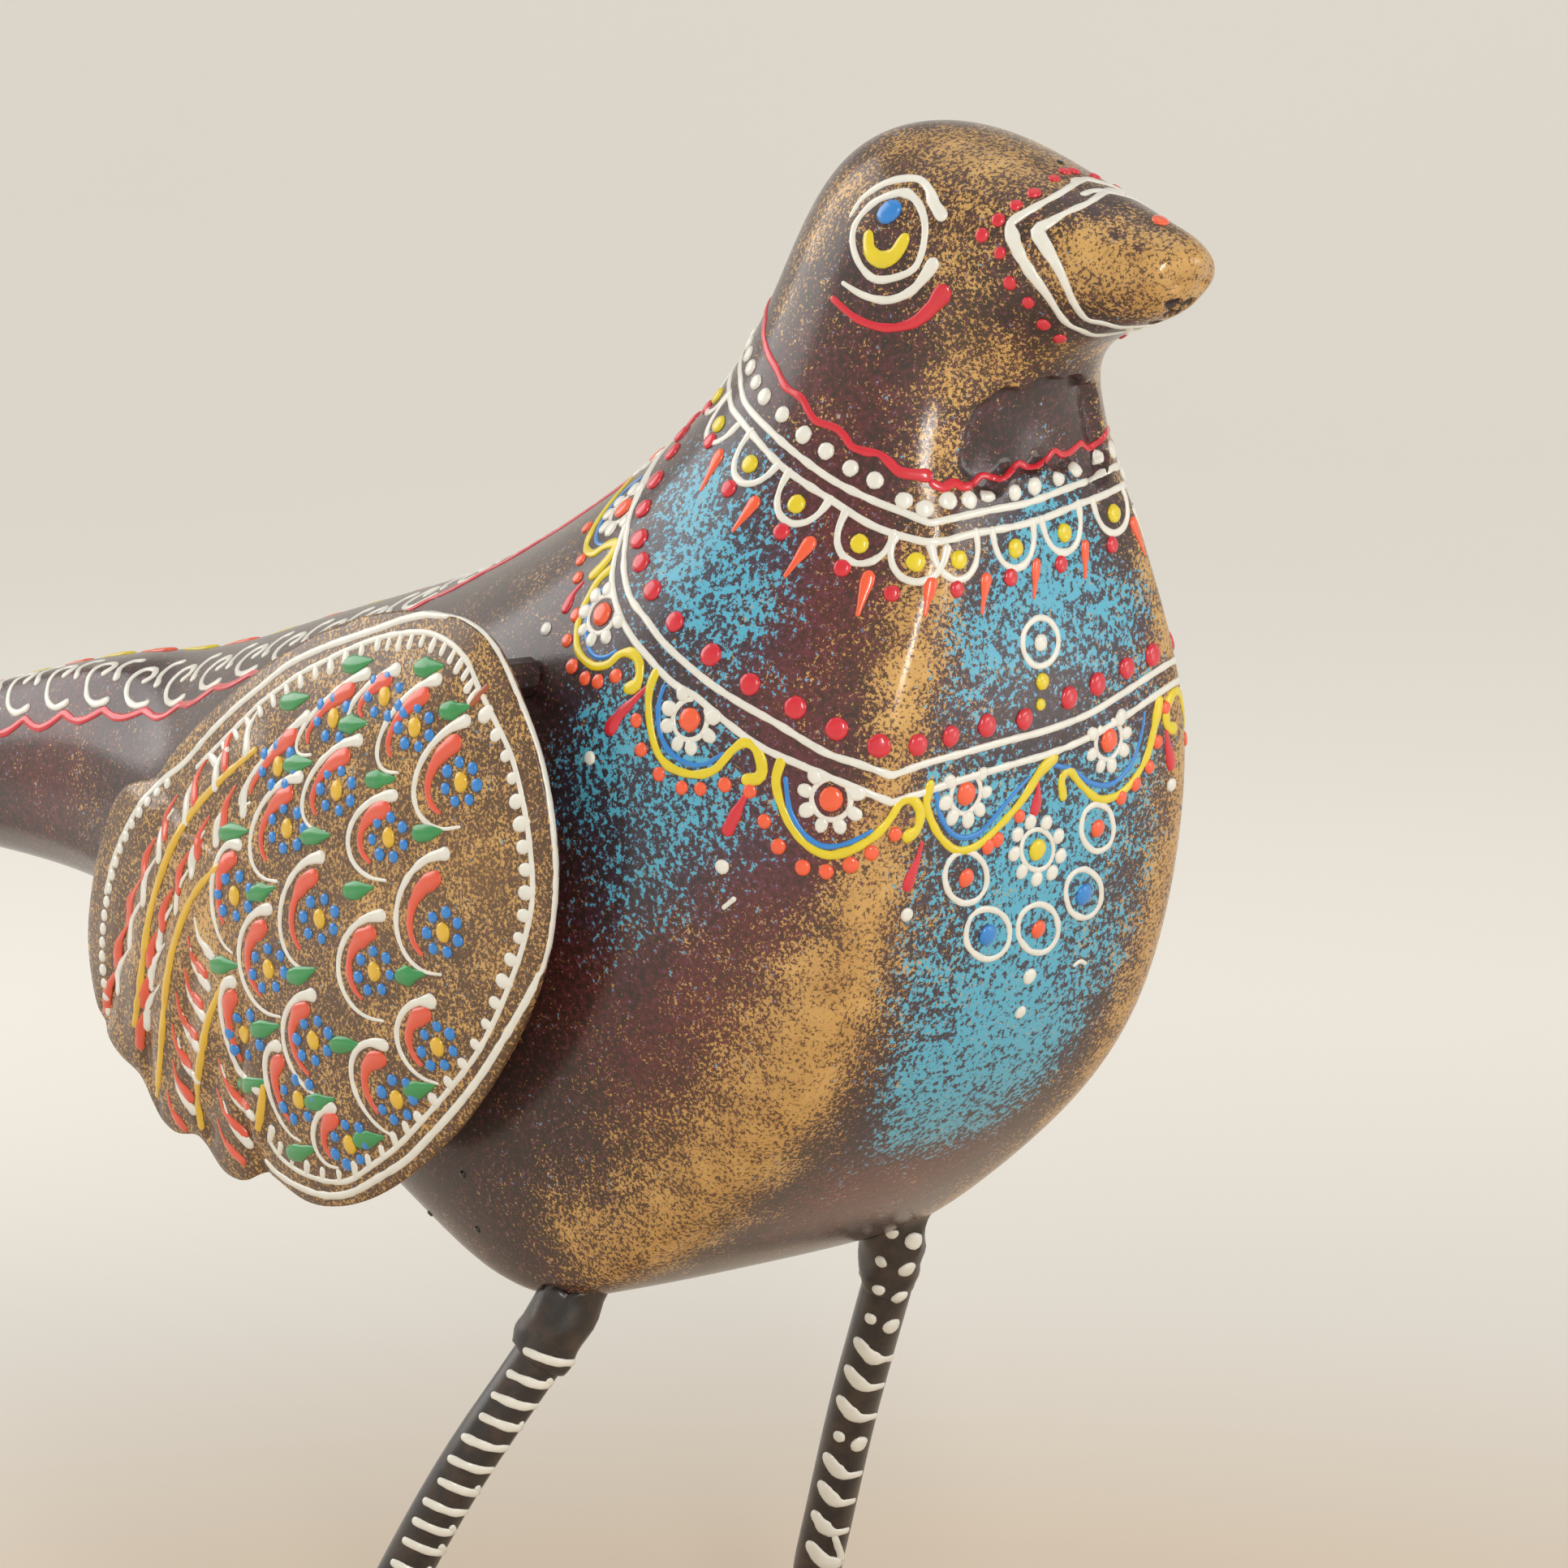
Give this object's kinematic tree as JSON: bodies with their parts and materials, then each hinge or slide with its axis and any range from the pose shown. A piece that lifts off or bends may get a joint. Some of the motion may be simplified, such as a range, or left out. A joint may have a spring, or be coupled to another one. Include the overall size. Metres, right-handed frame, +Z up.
{
  "type": "bird statue",
  "caption": "Hand-painted sheet-iron bird with a rounded hollow body, long tapering tail, domed wing plates held off its sides and bent rod legs on forged feet.",
  "frame": {"origin": "on the floor, under the middle of the whole bird's bounding box", "axes": "+Z up; the bird faces -Y, its tail points to +Y, and its left side is at +X"},
  "size_m": [0.1418, 0.3346, 0.2692],
  "materials": {
    "body_lacquer": "glossy dark maroon lacquer with gold-bronze and turquoise flecks and raised painted ornament",
    "wing_lacquer": "glossy dark brown lacquer with dense gold-bronze flecks and raised painted ornament",
    "collar_lacquer": "glossy dark brown lacquer over lumpy filler",
    "black_enamel": "semi-gloss black-brown enamel"
  },
  "bodies": {
    "root": {"body": "body_lacquer", "wing_left": "wing_lacquer", "wing_right": "wing_lacquer", "wing_stud_left_front": "black_enamel", "wing_stud_left_rear": "black_enamel", "wing_stud_right_front": "black_enamel", "wing_stud_right_rear": "black_enamel", "leg_left": "black_enamel", "leg_right": "black_enamel", "leg_collar_left": "collar_lacquer", "leg_collar_right": "collar_lacquer", "foot_left": "black_enamel", "foot_right": "black_enamel"}
  },
  "joints": []
}
